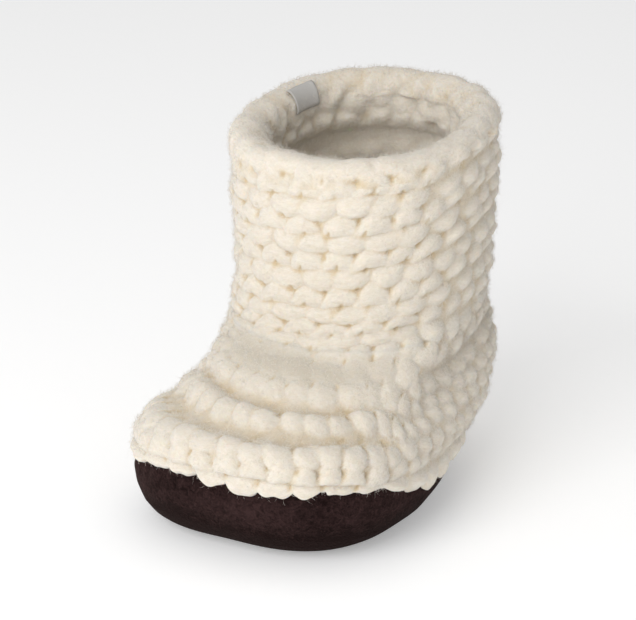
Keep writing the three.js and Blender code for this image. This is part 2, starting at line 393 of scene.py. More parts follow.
def bump_frame(p, share, r, side):
    """Place of each point in the frame of a near bump of row r, in bump lengths and row heights."""
    wales = BUMP_WALES[r]
    k = (np.round(share * wales - BUMP_PHASE[r]).astype(int) + side) % wales
    own, place = of_bumps(uneven[r], k), of_bumps(places[r], k)
    gap = p - place["middle"]
    along = (gap * place["along"]).sum(-1) / place["wale"]
    across = (gap * place["up"]).sum(-1)
    across = across / np.where(across > 0, place["above"], place["below"]) - own["above"]
    bow = BUMP_ARC[r] * (along * along - 0.125) + (BUMP_TILT[r] + own["tilt"]) * along
    return along, across - bow, own


def bump_height(along, across, own, knobbly):
    a = np.abs(along) / (BUMP_LONG * (1 + own["long"]))
    b = np.abs(across) / (BUMP_TALL * (1 + own["tall"]))
    pillow = np.clip(1 - a ** 2.4 - b ** 2.2, 0, None) ** 0.8
    knob = np.exp(-(((along / KNOB_LONG) ** 2 + (across / KNOB_TALL) ** 2) ** 1.2))
    high = (pillow + (knob - pillow) * knobbly) * (1 + own["high"] - own["lap"] * along)
    return np.maximum(high, 0)


def corner_mark(along, across, own, long, tall):
    """1 at the corner where a bump meets the next two, fading over the given lengths."""
    rise = across - own["pit_place"]
    slant = along - 0.5 - PIT_SLANT * rise
    return np.exp(-((slant / long) ** 2) - (rise / tall) ** 2) * np.clip(own["pit"], 0, 1)


print("pillow and knob, in bump lengths:", (BUMP_LONG, BUMP_TALL), (KNOB_LONG, KNOB_TALL))

# %% All bumps together
LEVEL_FLOOR = 0.25
HIGHEST = 1.15
NEAR_ROWS = 1.6
CREASE_WIDTH, SHADE_WIDTH = 0.27, 0.5
YARN_LONG, YARN_TALL = 10.5, 7
ROW_CREASE = np.array([0.25, 0.3, 0.5, 0.5, 0.3, 0.3, 0.5, 0.6] + [1.0] * 8 + [0.8, 0.3, 0.1, 0.1])
END_CREASE = np.array([0.4, 1.0, 1.3, 0.9, 0.3, 0.2, 0.3, 0.5] + [0.7] * 9 + [0.3] * 3)


def relief(p, share, row, merge, knobbly):
    """Height of the bumps, pits at their corners, creases, wide shade, and each point's fibre frame."""
    total, pits, corners = np.zeros_like(row), np.zeros_like(row), np.zeros_like(row)
    best, second = np.full_like(row, -1.0), np.full_like(row, -1.0)
    best_row, second_row = np.zeros(row.shape, int), np.zeros(row.shape, int)
    fibre = np.zeros(row.shape + (2,))
    base_row = np.floor(row).astype(int)
    for r in range(ROWS):
        near = np.abs(base_row + 0.5 - r) < NEAR_ROWS
        if not near.any():
            continue
        for side in (-1, 0, 1):
            along, across, own = bump_frame(p[near], share[near], r, side)
            high = bump_height(along, across, own, knobbly[near])
            total[near] += high ** merge[near]
            pit = corner_mark(along, across, own, PIT_LONG, PIT_TALL)
            pits[near] = np.maximum(pits[near], pit)
            corner = corner_mark(along, across, own, CORNER_LONG, CORNER_TALL)
            corners[near] = np.maximum(corners[near], corner)
            wins, next_best = high > best[near], high > second[near]
            later_row = np.where(next_best, r, second_row[near])
            second_row[near] = np.where(wins, best_row[near], later_row)
            second[near] = np.where(wins, best[near], np.maximum(second[near], high))
            best_row[near] = np.where(wins, r, best_row[near])
            best[near] = np.maximum(best[near], high)
            yarn_place = np.stack([along * YARN_LONG, across * YARN_TALL + own["grain"]], -1)
            fibre[near] = np.where(wins[..., None], yarn_place, fibre[near])
    between_rows = ROW_CREASE[np.minimum(best_row, second_row)]
    crease = np.where(best_row == second_row, END_CREASE[best_row], between_rows)
    crease = crease * np.exp(-(((best - second) / CREASE_WIDTH) ** 2))
    crease = crease * (1 - 0.7 * knobbly) * (0.45 + corners)
    shade = np.exp(-(((best - second) / SHADE_WIDTH) ** 2)) * (0.4 + corners)
    high = np.minimum((total + LEVEL_FLOOR ** merge) ** (1 / merge), HIGHEST)
    return high, pits, crease, shade, fibre


print("sharpest crease between rows:", ROW_CREASE.max(), "between bumps:", END_CREASE.max())

# %% [markdown]
# ## Folds and unevenness
# The boot has a few soft folds. A simulation would put them anywhere, so they are placed one by one,
# by course and turn: a groove over the tall toe row, a narrower one above the next ridge, the crease
# where the shaft meets the vamp, and dents at the ankle. A few crossing waves make the wool lumpy.

# %% Folds
FOLDS = (  # course, middle and half width in degrees of turn, width in courses, depth in millimetres
    (0.25, 0, 180, 0.4, 0.7),
    (0.95, 20, 110, 0.25, -0.15),
    (2.65, 5, 75, 0.75, 0.6),
    (3.65, 10, 85, 0.34, -0.9),
    (4.45, 5, 75, 0.4, 0.7),
    (5.0, 5, 60, 0.24, -0.9),
    (6.25, -10, 70, 0.45, -0.7),
    (5.3, 98, 26, 0.5, -1.3),
    (5.3, -98, 26, 0.5, -1.2),
    (8.3, 150, 60, 0.6, -0.7),
    (10.4, -40, 50, 0.7, 0.5),
    (13.6, 0, 180, 0.35, 0.3),
)
WAVES, WAVE_SPREAD = 7, (0.6, 1.7)


def fold_depth(course, turn):
    total = 0
    for at, middle, half, width, depth in FOLDS:
        fade = smooth(half * 1.25, half * 0.6, turn_from(turn, middle))
        total = total + depth * np.exp(-((course - at) / width) ** 2) * fade
    return total


def lumps(p, scale, seed):
    """Soft seeded unevenness in space, from a few crossing waves."""
    local = np.random.default_rng(seed)
    total = 0
    for _ in range(WAVES):
        way = local.normal(size=3)
        way /= np.linalg.norm(way)
        wave = 2 * math.pi / (scale * local.uniform(*WAVE_SPREAD))
        total = total + np.sin(p @ way * wave + local.uniform(0, 6.28))
    return total / WAVES


print("folds placed:", len(FOLDS))

# %% [markdown]
# ## Where the wool differs
# The vamp is felted nearly smooth and the collar's roll half smooth. The toe row is taller, the
# rows above the vamp lie close, and the label presses the wool flat. Each of these is a mask from 0
# to 1 by course and turn, and its edges fade, because felting has no hard edge.

# %% Masks by course and turn
LABEL_TURN = 254


def vamp(course, turn):
    """1 on the felted vamp, which reaches higher on its inner side, fading at its edges."""
    degrees = signed_degrees(turn)
    top = 6.6 - 0.35 * smooth(-15, 40, degrees)
    return smooth(5.5, 6.0, course) * smooth(0.3, -0.35, course - top) * smooth(75, 20, np.abs(degrees))


def under_label(course, turn):
    """1 where the label presses the wool flat."""
    across = smooth(13, 10.5, turn_from(turn, LABEL_TURN))
    return across * smooth(13.7, 14.0, course) * smooth(15.9, 15.6, course)


def wool_masks(course, turn):
    """Felted wool, the roll, the toe, the foot's outer side, the close rows and the knobs."""
    degrees = signed_degrees(turn)
    front = smooth(85, 50, np.abs(degrees))
    below_vamp = 0.3 * smooth(5.0, 5.3, course) * smooth(6.3, 6.0, course) * front
    inner_toe = 0.3 * smooth(3.9, 3.3, course) * smooth(5, -35, degrees) * smooth(-120, -90, degrees)
    felted = np.maximum(np.maximum(vamp(course, turn), below_vamp), inner_toe)
    roll = smooth(12.95, 13.5, course) * smooth(15.2, 14.6, course)
    toe = smooth(4.0, 3.4, course) * smooth(95, 60, np.abs(degrees))
    foot_side = smooth(6.6, 5.8, course) * smooth(45, 60, degrees) * smooth(140, 115, degrees)
    close_rows = front * smooth(6.2, 6.8, course) * smooth(9.5, 7.5, course)
    later_on_foot = 18 * smooth(7.2, 6.4, course)
    knobbly = smooth(42, 78, degrees - later_on_foot) + smooth(-55, -95, degrees)
    return felted, roll, toe, foot_side, close_rows, np.clip(knobbly, 0, 1) * (1 - 0.5 * roll)


print("vamp at its middle:", float(vamp(np.array(6.0), np.array(0.0)).round(2)))

# %% [markdown]
# ## Lower edge
# The knit hangs over the suede with a scalloped, ragged edge, one lobe for each bump of the lowest
# row. In front the suede is drawn up twice, and along the outer side the knit hangs lower.

# %% Edge of the knit over the suede
EDGE_COURSE, RAGGED = 0.26, 0.2
LOBE_HALF, LOBE_DEPTH = 0.55, 0.24


def edge_lift(turn):
    """Courses by which the suede is drawn up in front, twice."""
    return 0.5 * smooth(28, 10, turn_from(turn, 54)) + 0.35 * smooth(20, 6, turn_from(turn, -17))


def edge_drop(turn):
    """Courses by which the knit hangs down over the suede along the outer side."""
    return 0.48 * smooth(50, 15, turn_from(turn, 115))


def scallop(share):
    """Lower edge of the lowest row, as a course number."""
    at = share * BUMP_WALES[0] - BUMP_PHASE[0]
    own = of_bumps(uneven[0], np.round(at).astype(int) % BUMP_WALES[0])
    a = np.abs(at - np.round(at)) / (LOBE_HALF * (1 + own["long"]))
    lobe = LOBE_DEPTH * (1 + 4 * own["tall"]) * np.sqrt(np.clip(1 - a ** 2.6, 0.05, None))
    turn = turn_at(np.zeros_like(share), share)
    ragged = RAGGED * lumps(skin(np.zeros_like(share), turn), 6, 31)
    return EDGE_COURSE + own["above"] - lobe + ragged + edge_lift(turn) - edge_drop(turn)


print("edge runs from course", *(round(f(scallop(np.linspace(0, 1, 200))), 2) for f in (np.min, np.max)))

# %% [markdown]
# ## Outer face of the knit
# Now everything comes together at one point: bumps, pits, creases, folds and lumps give its level
# over the skin. Light hardly reaches the bottom of a crease, where the wool looks golden, so how
# deep a point lies is stored on it as its crease light, from which the material paints that shade.

# %% Level and painted crease shade
BUMP_RISE, TOE_RISE = 2.7, 0.3
TOP_LEVEL = 0.7
PIT_DEPTH, CREASE_DEPTH, TOE_CREASE = 0.9, 0.34, 0.2
DRAPE = 2.4
UNDER_LABEL_LEVEL = 0.35


def knit_surface(course, share):
    """Outer face of the knit: points, their painted crease and vamp shade, their fibre frame and way out.
    """
    turn = turn_at(course, share)
    p, out = skin(course, turn), skin_normal(course, turn)
    felted, roll, toe, foot_side, close_rows, knobbly = wool_masks(course, turn)
    merge = np.clip(6.2 - 3 * felted - 3 * roll - 2.6 * knobbly + 1.5 * lumps(p, 17, 5), 2.5, 8)
    high, pits, crease, shade, fibre = relief(p, share, row_of(course, turn), merge, knobbly)
    tall = (BUMP_RISE + TOE_RISE * toe) * (1 - 0.64 * felted) * (1 - 0.5 * roll)
    tall = tall * (1 - 0.18 * close_rows) * (1 - 0.3 * foot_side)
    pits = pits * (1 - 0.9 * felted) * (1 - 0.8 * roll) * (1 - 0.9 * knobbly)
    crease = crease * (1 - 0.7 * felted) * (1 - 0.7 * roll) * np.clip(0.8 + 0.9 * lumps(p, 8, 12), 0, 1)
    level = TOP_LEVEL - tall * (1 - high) - PIT_DEPTH * pits - (CREASE_DEPTH + TOE_CREASE * toe) * crease
    level = level + fold_depth(course, turn) + 0.45 * roll * lumps(p, 9, 41)
    level = level + 0.35 * lumps(p, 14, 7) + 0.14 * lumps(p, 4.5, 8) + 0.07 * lumps(p, 2.4, 13)
    level = level + DRAPE * edge_drop(turn) * smooth(0.4, -0.3, course)
    level = level - under_label(course, turn) * np.clip(level - UNDER_LABEL_LEVEL, 0, None)
    # Painted shade: pits, creases, the wide shade and the hollows between knobs lower the crease light,
    # which paints the wool golden there; 1 is a lit top.
    hollow = tall / BUMP_RISE * np.clip(0.55 - high, 0, 1)
    deep = 1.3 * pits + (0.62 + 0.2 * close_rows) * crease + 0.2 * shade * (1 - felted)
    deep = deep + (0.8 + 0.5 * knobbly * (1 - 0.5 * foot_side)) * hollow
    # Painted shade: the vamp's mask is stored so that the material paints it greyer.
    values = {"crease_light": np.clip(1 - deep, 0, 1), "vamp_shade": vamp(course, turn)}
    return p + out * level[..., None], values, fibre, out


print("bumps rise by", BUMP_RISE, "mm, at the toe by", BUMP_RISE + TOE_RISE)

# %% [markdown]
# ## Foot and shaft
# The sheet is made as two closed shells. The foot's lower edge follows the scallops of its lowest
# row, where it hangs over the suede. At the ankle both shells follow the same relief and then dive
# under each other, so no seam shows. The shaft runs on over the roll, the hem and down the inside.

# %% Shell from an outer face and inner points
# The inner faces get a little painted crease shade and no painted vamp shade.
INSIDE_VALUES = {"crease_light": 0.8, "vamp_shade": 0.0}
NEXT_BUMP, MM_PER_UV = 4, 10
LINING_GRAIN = (0.55, 0.8)


def fibre_corners(faces, frames, outer_count, columns):
    """UVs of each face's corners; a face between two bumps takes the fibre of one of them."""
    corner = frames[faces]
    jump = np.abs(corner - corner[:, :1]).max(axis=(1, 2)) > NEXT_BUMP
    corner[jump] = corner[jump][:, :1]
    lining = (faces >= outer_count).any(axis=1)
    corner[lining] = (np.stack([faces % columns, faces // columns], -1) * LINING_GRAIN)[lining]
    return corner / MM_PER_UV


def knit_piece(name, columns, course, dive, inner_points):
    """Closed shell: the outer face from its lower edge upwards, then the inner points back down."""
    share = np.arange(columns) / columns
    outer, values, fibre, out = knit_surface(course, np.broadcast_to(share, course.shape))
    outer = outer - out * dive[..., None]
    inner = inner_points.shape[:2]
    for label, inside in INSIDE_VALUES.items():
        values[label] = np.concatenate([values[label], np.full(inner, inside)]).ravel()
    points = np.concatenate([outer, inner_points]).reshape(-1, 3)
    frames = np.concatenate([fibre, np.zeros(inner + (2,))]).reshape(-1, 2)
    faces = band_faces(len(course) + len(inner_points), columns, close_rows=True)
    uvs = fibre_corners(faces, frames, course.size, columns)
    return make_piece(name, points, faces, uvs, values), outer, out


def inner_wall(courses, columns, depth, bumpy):
    """Inner face of the knit, at a depth under the skin."""
    course, share = np.meshgrid(courses, np.arange(columns) / columns, indexing="ij")
    turn = turn_at(course, share)
    p = skin(course, turn)
    plain = np.full_like(course, 3.5)
    high = relief(p, share, row_of(course, turn), plain, np.ones_like(course))[0]
    level = depth - bumpy * (high - 0.8) + 0.5 * lumps(p, 7, 9)
    return p + skin_normal(course, turn) * level[..., None]


# %% Foot
ANKLE = 6.6
ANKLE_DIVE, EDGE_DIVE = 3.2, 1.1
FOOT_TOP, FOOT_COLUMNS = 7.0, 540
FOOT_INSIDE, FOOT_INNER_BUMPS = -6.2, 1.2

foot_levels = np.concatenate([
    np.linspace(0, 4.3, 72, endpoint=False),
    np.linspace(4.3, 6.7, 60, endpoint=False),
    np.linspace(6.7, FOOT_TOP, 6),
])
foot_edge = scallop(np.arange(FOOT_COLUMNS) / FOOT_COLUMNS)[None]
foot_course = foot_levels[:, None] + foot_edge * (1 - smooth(0, 1, foot_levels))[:, None]
foot_dive = ANKLE_DIVE * smooth(ANKLE, FOOT_TOP, foot_course)
foot_dive = foot_dive + EDGE_DIVE * smooth(0.3, 0, foot_course - foot_edge)
foot_inner_courses = np.concatenate([[FOOT_TOP], np.linspace(6.9, 0.5, 33), [0.2]])
foot_inner = inner_wall(foot_inner_courses, FOOT_COLUMNS, FOOT_INSIDE, FOOT_INNER_BUMPS)
knit_foot, foot_face, foot_out = knit_piece("knit_foot", FOOT_COLUMNS, foot_course, foot_dive, foot_inner)

# %% Shaft
SHAFT_FOOT, SHAFT_COLUMNS = 6.25, 440
SHAFT_INSIDE, SHAFT_INNER_BUMPS = -6.4, 1.5
HEM_EDGE = ((9.6, 11.3), (8.2, 12.9), (7.0, 13.9))  # inset and drop from the collar, in millimetres

shaft_levels = np.concatenate([
    np.linspace(SHAFT_FOOT, 9, 58, endpoint=False),
    np.linspace(9, 13, 64, endpoint=False),
    np.linspace(13, 15.1, 38, endpoint=False),
    np.linspace(15.1, 16.3, 16),
])
shaft_course = np.repeat(shaft_levels[:, None], SHAFT_COLUMNS, axis=1)
shaft_dive = ANKLE_DIVE * smooth(ANKLE, SHAFT_FOOT, shaft_course)
collar_turn = turn_at(np.full(SHAFT_COLUMNS, COLLAR), np.arange(SHAFT_COLUMNS) / SHAFT_COLUMNS)
hem_edge = [
    collar_point(collar_turn) - inset * level_out(collar_turn) - np.array([0, 0, drop])
    for inset, drop in HEM_EDGE
]
shaft_wall = inner_wall(np.linspace(10.9, 6.5, 38), SHAFT_COLUMNS, SHAFT_INSIDE, SHAFT_INNER_BUMPS)
shaft_inner = np.concatenate([np.array(hem_edge), shaft_wall])
knit_shaft, shaft_face, shaft_out = knit_piece(
    "knit_shaft", SHAFT_COLUMNS, shaft_course, shaft_dive, shaft_inner
)

# %% [markdown]
# ## Fuzz
# Wool is covered with loose hairs. They soften the outline, and they are what makes it read as wool
# and not as clay. A hair system would leave no mesh to export, so each hair is a tiny closed spindle
# with a kink, and all of them are one mesh. Most lie nearly flat, and a few strays stand out.

# %% Hairs
HAIR_COUNT = 33000
HAIR_LENGTH, HAIR_THICK = (1.0, 2.8), (0.03, 0.055)
HAIR_STAND, STAND_SPREAD = 0.3, 0.25
HAIR_BOW, ROOT_DEPTH = 0.14, 0.3
STRAYS, STRAY_STAND, STRAY_LONG, STRAY_THIN = 0.04, 0.6, 1.8, 0.42
EDGE_HAIRS, EDGE_ROWS, EDGE_SHORT, EDGE_HANG = 200, 5, 0.6, 0.7
FOOT_FUZZ, SHAFT_FUZZ = slice(4, 128), slice(1, 168)  # rows of the outer faces that carry hairs
SPINDLE = np.array([[0, 2, 1], [0, 3, 2], [0, 1, 3], [4, 1, 2], [4, 2, 3], [4, 3, 1]])


def hairs(name, grid, out, edge=0):
    """Hairs over a grid of points; the first few stand on its lowest rows and hang over the edge."""
    number = HAIR_COUNT
    i = rng.integers(EDGE_ROWS, grid.shape[0] - 1, number)
    j = rng.integers(0, grid.shape[1], number)
    i[:edge] = rng.integers(0, EDGE_ROWS, edge)
    root = grid[i, j] + (grid[i + 1, j] - grid[i, j]) * rng.random(number)[:, None]
    n = out[i, j]
    loose = rng.normal(size=(number, 3))
    loose[:edge, 2] -= EDGE_HANG
    flat = unit(loose - n * (loose * n).sum(1, keepdims=True))
    stray = rng.random(number) < STRAYS
    stray[:edge] = True
    stand = np.abs(rng.normal(np.where(stray, STRAY_STAND, HAIR_STAND), STAND_SPREAD))
    way = unit(flat + n * stand[:, None])
    bend = unit(np.cross(way, rng.normal(size=(number, 3))))
    length = (rng.uniform(*HAIR_LENGTH, number) * np.where(stray, STRAY_LONG, 1))[:, None]
    length[:edge] *= EDGE_SHORT
    thick = (rng.uniform(*HAIR_THICK, number) * np.where(stray, STRAY_THIN, 1))[:, None]
    middle = root + way * length * 0.5 + bend * length * HAIR_BOW
    second = np.cross(way, bend)
    thirds = (0, 2.094, 4.189)
    ring = [middle + (bend * math.cos(a) + second * math.sin(a)) * thick for a in thirds]
    points = np.stack([root - n * ROOT_DEPTH, *ring, root + way * length], 1)
    faces = (np.arange(number)[:, None, None] * points.shape[1] + SPINDLE[None]).reshape(-1, 3)
    piece = make_piece(name, points.reshape(-1, 3), faces)
    piece.visible_shadow = False
    return piece


fuzz_foot = hairs("fuzz_foot", foot_face[FOOT_FUZZ], foot_out[FOOT_FUZZ], edge=EDGE_HAIRS)
fuzz_shaft = hairs("fuzz_shaft", shaft_face[SHAFT_FUZZ], shaft_out[SHAFT_FUZZ])

# %% [markdown]
# ## Suede sole
# The sole is one piece of suede drawn up round the foot, so its side is soft and bulges a little.
# It could be lofted by hand along the outline. Here it follows the solid's own profile with far
# more points: each ring is the seam's outline, drawn in towards the foot's middle line, and leans.

# %% Profile of the sole
SOLE_COLUMNS = 224
SOLE_TURN = np.arange(SOLE_COLUMNS) / SOLE_COLUMNS * 2 * math.pi
SPINE = (-30, 20)
SOLE_LEAN = -3
SOLE_FLOOR = 3
RIM_RISE, RIM_PER_COURSE, SEAM_GAP = 2.0, 6.5, 0.3
TOE_SPRING, SPRING_START, SPRING_LENGTH = 3.2, -34, 30
ARCH_RISE, ARCH_START, ARCH_LENGTH = 1.3, -12, 32
WAIST_CUT, WAIST_AT, WAIST_LENGTH = 2.5, 8, 16


def sole_outline(turn, inset):
    """Outline of the seam, drawn in towards the foot's middle line."""
    p, bend = ring_point(np.zeros_like(turn), turn)
    spine = np.clip(p[..., 1], *SPINE)
    out = np.stack([p[..., 0], p[..., 1] - spine], -1)
    long = np.linalg.norm(out, axis=-1)
    out = out * ((long - inset) / long)[..., None]
    y = spine + out[..., 1]
    return np.stack([out[..., 0] + bend * bend_share(y), y, p[..., 2]], -1)


def ground_lift(y):
    """Height of the underside: the toe springs up, and the arch is a little clear of the floor."""
    spring = TOE_SPRING * np.clip((SPRING_START - y) / SPRING_LENGTH, 0, None) ** 2
    in_arch = (y > ARCH_START) & (y < ARCH_START + ARCH_LENGTH)
    return spring + np.where(in_arch, ARCH_RISE * np.sin(math.pi * (y - ARCH_START) / ARCH_LENGTH) ** 2, 0)


def sole_point(turn, height, inset):
    """height 0 on the floor, 1 at the rim."""
    rough = sole_outline(turn, inset)
    waist = np.exp(-((rough[..., 1] - WAIST_AT) / WAIST_LENGTH) ** 2) * WAIST_CUT
    p = sole_outline(turn, inset + waist * (1 - height) * (np.sin(turn) < 0))
    drawn_up = RIM_RISE + RIM_PER_COURSE * edge_lift(turn)
    rim = p[..., 2] - SEAM_GAP + drawn_up * smooth(0.6, 1, height)
    z = height * rim + (1 - height) * ground_lift(p[..., 1])
    return np.stack([p[..., 0] + SOLE_LEAN * (1 - height), p[..., 1], z], -1)


def sole_ring(height, inset):
    return sole_point(SOLE_TURN, np.full_like(SOLE_TURN, height), inset)


print("rim at the heel in mm:", sole_ring(1, 0)[SOLE_COLUMNS // 2, 2].round(1))

# %% [markdown]
# The sole and the footbed are both closed through rings, with a cap at each end. A fan to one
# middle point would pinch the shading, so the caps are strips across the foot. The suede's edge
# puckers where it is gathered under the knit: small waves, which fade out downwards.

# %% Sole
SIDE_HEIGHT = (0, 0.055, 0.17, 0.33, 0.56, 0.78, 1)
SIDE_INSET = (15, 11, 7, 4, 1.7, 0.6, 1.2)
CUP_INSIDE = ((1, 4), (0.62, 4.7), (0.38, 7))  # height and inset, from the rim down
FLOOR_INSET = 11
PUCKER, DENT = 0.2, 0.5
PUCKER_WAVES = ((47, 1.7, 9), (29, 2.2, 5))  # waves round the rim, how far they drift and how often
EASE = np.array([1, 2, 3, 2, 1]) / 9


def cap_faces(first, columns, up):
    """Closing face of a ring, in strips across the foot."""
    half = columns // 2
    j = np.arange(1, half - 1)
    quads = np.stack([j, j + 1, columns - j - 1, columns - j], 1)
    tips = np.array([[0, 1, columns - 1], [half - 1, half, half + 1]])
    if not up:
        quads, tips = quads[:, ::-1], tips[:, ::-1]
    return quads + first, tips + first


def capped_piece(name, rings):
    points = np.concatenate(rings)
    bottom, bottom_tips = cap_faces(0, SOLE_COLUMNS, up=False)
    top, top_tips = cap_faces(len(points) - SOLE_COLUMNS, SOLE_COLUMNS, up=True)
    quads = np.concatenate([band_faces(len(rings), SOLE_COLUMNS), bottom, top])
    halves = [quads[:, [0, 1, 2]], quads[:, [0, 2, 3]]]
    return make_piece(name, points, np.concatenate(halves + [bottom_tips, top_tips]))


def suede_ring(height, inset):
    t = SOLE_TURN
    pucker = sum(PUCKER * np.sin(t * n + drift * np.sin(t * often)) for n, drift, often in PUCKER_WAVES)
    dent = lumps(sole_ring(height, inset), 26, 11) * DENT * smooth(0.05, 0.4, height)
    return sole_ring(height, inset + pucker * smooth(0.6, 0.97, height) + dent)


side_heights = np.concatenate([np.linspace(0, 0.33, 16), np.linspace(0.36, 1, 26)])
side_insets = np.interp(side_heights, SIDE_HEIGHT, SIDE_INSET)
side_insets[2:-2] = np.convolve(side_insets, EASE, mode="valid")
cup_floor = sole_ring(0, FLOOR_INSET) + np.array([0, 0, SOLE_FLOOR])
sole_rings = [suede_ring(height, inset) for height, inset in zip(side_heights, side_insets)]
sole_rings += [sole_ring(height, inset) for height, inset in CUP_INSIDE] + [cup_floor]
suede_sole = capped_piece("suede_sole", sole_rings)

# %% [markdown]
# ## Fleece insole
# The footbed is a short curly pile on the sole's floor. Its edge turns up and ends in a soft lip
# against the knit, so that it lines the suede. Seen through the collar it needs a soft, uneven face:
# its rings get small lumps, and the pile itself is left to the material.

# %% Insole
BED_UNDER = ((0.3, 11.8), (2.1, 10.5), (3.8, 9.8))  # height over the sole's floor and inset, in millimetres
CUFF_BACK = ((0.45, 7.4), (0.6, 5.9), (0.8, 5.3), (0.98, 4.8), (1.04, 3.2), (1.08, 2.2))
CUFF_FACE = ((1.13, 3.6), (1.12, 5.4), (1.05, 7.0), (0.92, 8.0), (0.77, 8.7), (0.62, 9.8))
BED_FACE = ((5.9, 12.4), (5.2, 14.5), (5.0, 17), (5.0, 20), (5.0, 23), (5.0, 26), (5.0, 29))
HEEL_REACH = 1.6


def pile(p):
    return lumps(p, 6, 21) * 0.5 + lumps(p, 2.6, 22) * 0.3


def bed_ring(up, inset, lumpy):
    p = sole_ring(0, inset)
    p[:, 2] += SOLE_FLOOR + up
    p[:, 2] += pile(p) * lumpy
    return p


def cuff_ring(height, inset, lumpy):
    """Ring of the turned-up edge, whose lip reaches further out at the heel."""
    at_heel = smooth(-0.45, -0.85, np.cos(SOLE_TURN)) * smooth(1.0, 1.06, height)
    inset = inset - HEEL_REACH * at_heel
    return sole_ring(height, inset + pile(sole_ring(height, inset)) * lumpy)


bed_rings = [bed_ring(*place, lumpy=0) for place in BED_UNDER]
bed_rings += [cuff_ring(*place, lumpy=0) for place in CUFF_BACK]
bed_rings += [cuff_ring(*place, lumpy=1) for place in CUFF_FACE]
bed_rings += [bed_ring(*place, lumpy=1) for place in BED_FACE]
fleece_insole = capped_piece("fleece_insole", bed_rings)

# %% [markdown]
# ## Bare satin label
# A strip of satin is sewn over the inside of the collar's roll. It is left bare. A flat strip would
# have to be bent round the roll, so it is made as a thin closed strip that follows the roll's own
# curve, with its ends sewn down and its side edges turned slightly away from the wool.

# %% Label
LABEL_SPAN, LABEL_COLUMNS = 18, 17
LABEL_INSET = np.array([7.2, 7.8, 8.4, 9.1, 9.7, 10.2, 10.6, 10.85, 11.0, 11.0, 10.98])
LABEL_RISE = np.array([5.25, 5.0, 4.65, 4.15, 3.5, 2.8, 1.9, 1.0, 0.1, -0.8, -1.6])
LABEL_FRONT, LABEL_BACK = 1.05, 0.7
EDGE_CURL = 0.2

label_run = unit(np.stack([np.gradient(LABEL_INSET), np.gradient(LABEL_RISE)], 1))
label_turn = np.radians(LABEL_TURN + LABEL_SPAN * np.linspace(-0.5, 0.5, LABEL_COLUMNS))


def label_face(lift):
    ends = np.linspace(0, 1, len(LABEL_INSET))
    sewn = smooth(0, 0.15, ends) * smooth(1, 0.9, ends)
    curl = EDGE_CURL * np.abs(np.linspace(-1, 1, LABEL_COLUMNS))[None, :] ** 3
    off = lift * (0.25 + 0.75 * sewn[:, None]) + curl
    inset = LABEL_INSET[:, None] - label_run[:, 1:] * off
    p = collar_point(label_turn)[None] - inset[..., None] * level_out(label_turn)[None]
    p[..., 2] += LABEL_RISE[:, None] + label_run[:, :1] * off
    return p


around = 2 * LABEL_COLUMNS
label_grid = np.concatenate([label_face(LABEL_FRONT), label_face(LABEL_BACK)[:, ::-1]], axis=1)
step = np.arange(LABEL_COLUMNS - 1)
label_end = np.stack([step, step + 1, around - 2 - step, around - 1 - step], 1)
label_ends = [label_end, label_end[:, ::-1] + (len(LABEL_INSET) - 1) * around]
label_faces = np.concatenate([band_faces(len(LABEL_INSET), around)[:, ::-1], *label_ends])
satin_label = make_piece("satin_label", label_grid.reshape(-1, 3), label_faces)

# %% [markdown]
# ## Materials
# A material is a tree of nodes. A few small helpers keep the trees readable: each adds one node,
# sets it, and hands back the socket that the next one needs.

# %% Node helpers
MIX_UNDER, MIX_OVER, MIX_COLOUR = 6, 7, 2  # the colour sockets of a Mix node


def set_inputs(node, values):
    for name, value in values.items():
        node.inputs[name].default_value = value


def set_or_link(tree, socket, value):
    if isinstance(value, bpy.types.NodeSocket):
        tree.links.new(value, socket)
    else:
        socket.default_value = value


def noise(tree, where, scale, detail, rough, twist=0.0):
    node = tree.nodes.new("ShaderNodeTexNoise")
    set_inputs(node, {"Detail": detail, "Roughness": rough, "Distortion": twist})
    set_or_link(tree, node.inputs["Scale"], scale)
    tree.links.new(where, node.inputs["Vector"])
    return node.outputs["Fac"]


def math_node(tree, operation, a, b):
    node = tree.nodes.new("ShaderNodeMath")
    node.operation = operation
    for socket, value in zip(node.inputs, (a, b)):
        set_or_link(tree, socket, value)
    return node.outputs[0]


def weighted(tree, first, first_weight, second, second_weight):
    """Sum of two values, each times its weight."""
    first = math_node(tree, "MULTIPLY", first, first_weight)
    return math_node(tree, "ADD", first, math_node(tree, "MULTIPLY", second, second_weight))


def map_range(tree, value, low, high, to_low=0.0, to_high=1.0):
    node = tree.nodes.new("ShaderNodeMapRange")
    set_inputs(node, {"From Min": low, "From Max": high, "To Min": to_low, "To Max": to_high})
    tree.links.new(value, node.inputs["Value"])
    return node.outputs["Result"]


def mix_colours(tree, share, under, over):
    node = tree.nodes.new("ShaderNodeMix")
    node.data_type = "RGBA"
    tree.links.new(share, node.inputs["Factor"])
    set_or_link(tree, node.inputs[MIX_UNDER], under)
    set_or_link(tree, node.inputs[MIX_OVER], over)
    return node.outputs[MIX_COLOUR]


def colour_ramp(tree, value, *stops):
    node = tree.nodes.new("ShaderNodeValToRGB")
    for element, (position, colour) in zip(node.color_ramp.elements, stops):
        element.position = position
        element.color = (*colour, 1)
    tree.links.new(value, node.inputs["Fac"])
    return node.outputs["Color"]


def add_bump(tree, shader, height, strength, distance):
    bump = tree.nodes.new("ShaderNodeBump")
    set_inputs(bump, {"Strength": strength, "Distance": distance})
    tree.links.new(height, bump.inputs["Height"])
    tree.links.new(bump.outputs["Normal"], shader.inputs["Normal"])


def new_material(name, roughness, sheen):
    material = bpy.data.materials.new(name)
    material.use_nodes = True
    shader = material.node_tree.nodes["Principled BSDF"]
    set_inputs(shader, {
        "Roughness": roughness, "Sheen Weight": sheen, "Sheen Roughness": 0.6, "Specular IOR Level": 0.15,
    })
    return material, material.node_tree, shader


# %% [markdown]
# ## Matted fibre
# Yarn, hairs and fleece share one effect, matted fibre: a fine noise and a coarse one, mixed for the
# colour and for a bump. It is a node group with its own inputs, so that each material places it
# with its own scale and colours.

